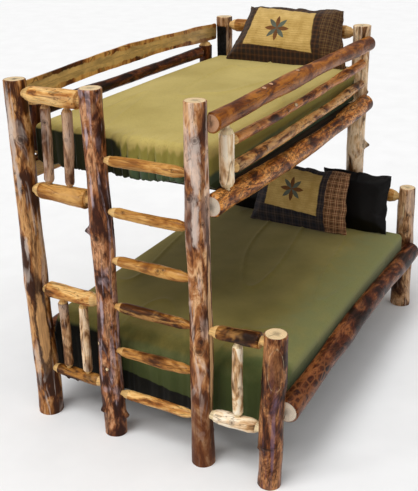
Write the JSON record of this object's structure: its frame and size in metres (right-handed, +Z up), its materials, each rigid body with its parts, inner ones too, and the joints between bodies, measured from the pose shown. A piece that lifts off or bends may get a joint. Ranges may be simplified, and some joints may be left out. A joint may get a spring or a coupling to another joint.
{
  "type": "log bunk bed",
  "caption": "Rustic bunk bed of varnished logs: a narrow upper bunk with guard rails over a wide lower bunk, a ladder built into the foot end, and made-up bedding.",
  "frame": {"origin": "middle of the bed's footprint, on the floor", "axes": "+Z up, +Y from the foot end with the ladder to the head end, +X from the wall side to the front"},
  "size_m": [1.563, 2.2162, 1.9371],
  "materials": {
    "bark_log": "clear varnish over mottled inner bark",
    "peeled_log": "clear varnish over honey-coloured peeled wood",
    "pale_log": "clear varnish over pale peeled wood",
    "plywood": "dark stain",
    "black_steel": "black satin paint",
    "green_cover": "plain sage cotton",
    "plaid_quilt": "quilted plaid cotton with a cream panel",
    "dark_leather": "smooth dark leather"
  },
  "bodies": {
    "frame": {"post_foot_wall": "bark_log", "post_ladder_left": "bark_log", "post_ladder_right": "bark_log", "post_foot_front": "bark_log", "post_head_wall": "bark_log", "post_head_middle": "bark_log", "post_head_front": "bark_log", "foot_rail_upper_top": "peeled_log", "foot_rail_upper_bottom": "peeled_log", "foot_rail_lower_top": "peeled_log", "foot_rail_lower_bottom": "bark_log", "foot_rail_front_top": "bark_log", "foot_rail_front_bottom": "pale_log", "foot_spindle_upper_1": "bark_log", "foot_spindle_upper_2": "bark_log", "foot_spindle_lower_1": "bark_log", "foot_spindle_lower_2": "pale_log", "foot_spindle_front": "pale_log", "ladder_rung_1": "peeled_log", "ladder_rung_2": "peeled_log", "ladder_rung_3": "peeled_log", "ladder_rung_4": "peeled_log", "ladder_rung_5": "peeled_log", "ladder_rung_6": "peeled_log", "head_rail_upper_top": "peeled_log", "head_rail_upper_bottom": "peeled_log", "head_rail_lower_top": "peeled_log", "head_rail_lower_bottom": "peeled_log", "head_rail_front_top": "peeled_log", "head_rail_front_bottom": "peeled_log", "head_spindle_upper_1": "bark_log", "head_spindle_upper_2": "bark_log", "head_spindle_upper_3": "bark_log", "head_spindle_upper_4": "bark_log", "head_spindle_lower_1": "bark_log", "head_spindle_lower_2": "bark_log", "head_spindle_lower_3": "bark_log", "head_spindle_lower_4": "bark_log", "head_spindle_front": "bark_log", "side_rail_upper_front": "bark_log", "side_rail_upper_back": "bark_log", "side_rail_lower_front": "bark_log", "side_rail_lower_back": "bark_log", "guard_front_top": "peeled_log", "guard_front_stile": "pale_log", "guard_front_mid_1": "peeled_log", "guard_front_mid_2": "peeled_log", "guard_back_top": "peeled_log", "guard_back_stile_foot": "bark_log", "guard_back_stile_head": "bark_log", "guard_back_mid": "bark_log", "guard_bracket": "black_steel", "deck_upper": "plywood", "deck_lower": "plywood"},
    "upper_mattress": {"mattress_upper": "green_cover"},
    "lower_mattress": {"mattress_lower": "green_cover"},
    "upper_pillow": {"pillow_upper_plaid": "plaid_quilt"},
    "lower_pillows": {"pillow_lower_plaid": "plaid_quilt", "pillow_leather_right": "dark_leather", "pillow_leather_left": "dark_leather"}
  },
  "joints": [
    {"name": "upper_mattress_lift", "type": "slide", "parent": "frame", "child": "upper_mattress", "axis": [0, 0, 1], "range_m": [0, 0.4]},
    {"name": "lower_mattress_lift", "type": "slide", "parent": "frame", "child": "lower_mattress", "axis": [0, 0, 1], "range_m": [0, 0.12]},
    {"name": "upper_pillow_lift", "type": "slide", "parent": "upper_mattress", "child": "upper_pillow", "axis": [0, 0, 1], "range_m": [0, 0.3]},
    {"name": "lower_pillows_lift", "type": "slide", "parent": "lower_mattress", "child": "lower_pillows", "axis": [0, 0, 1], "range_m": [0, 0.12]}
  ]
}
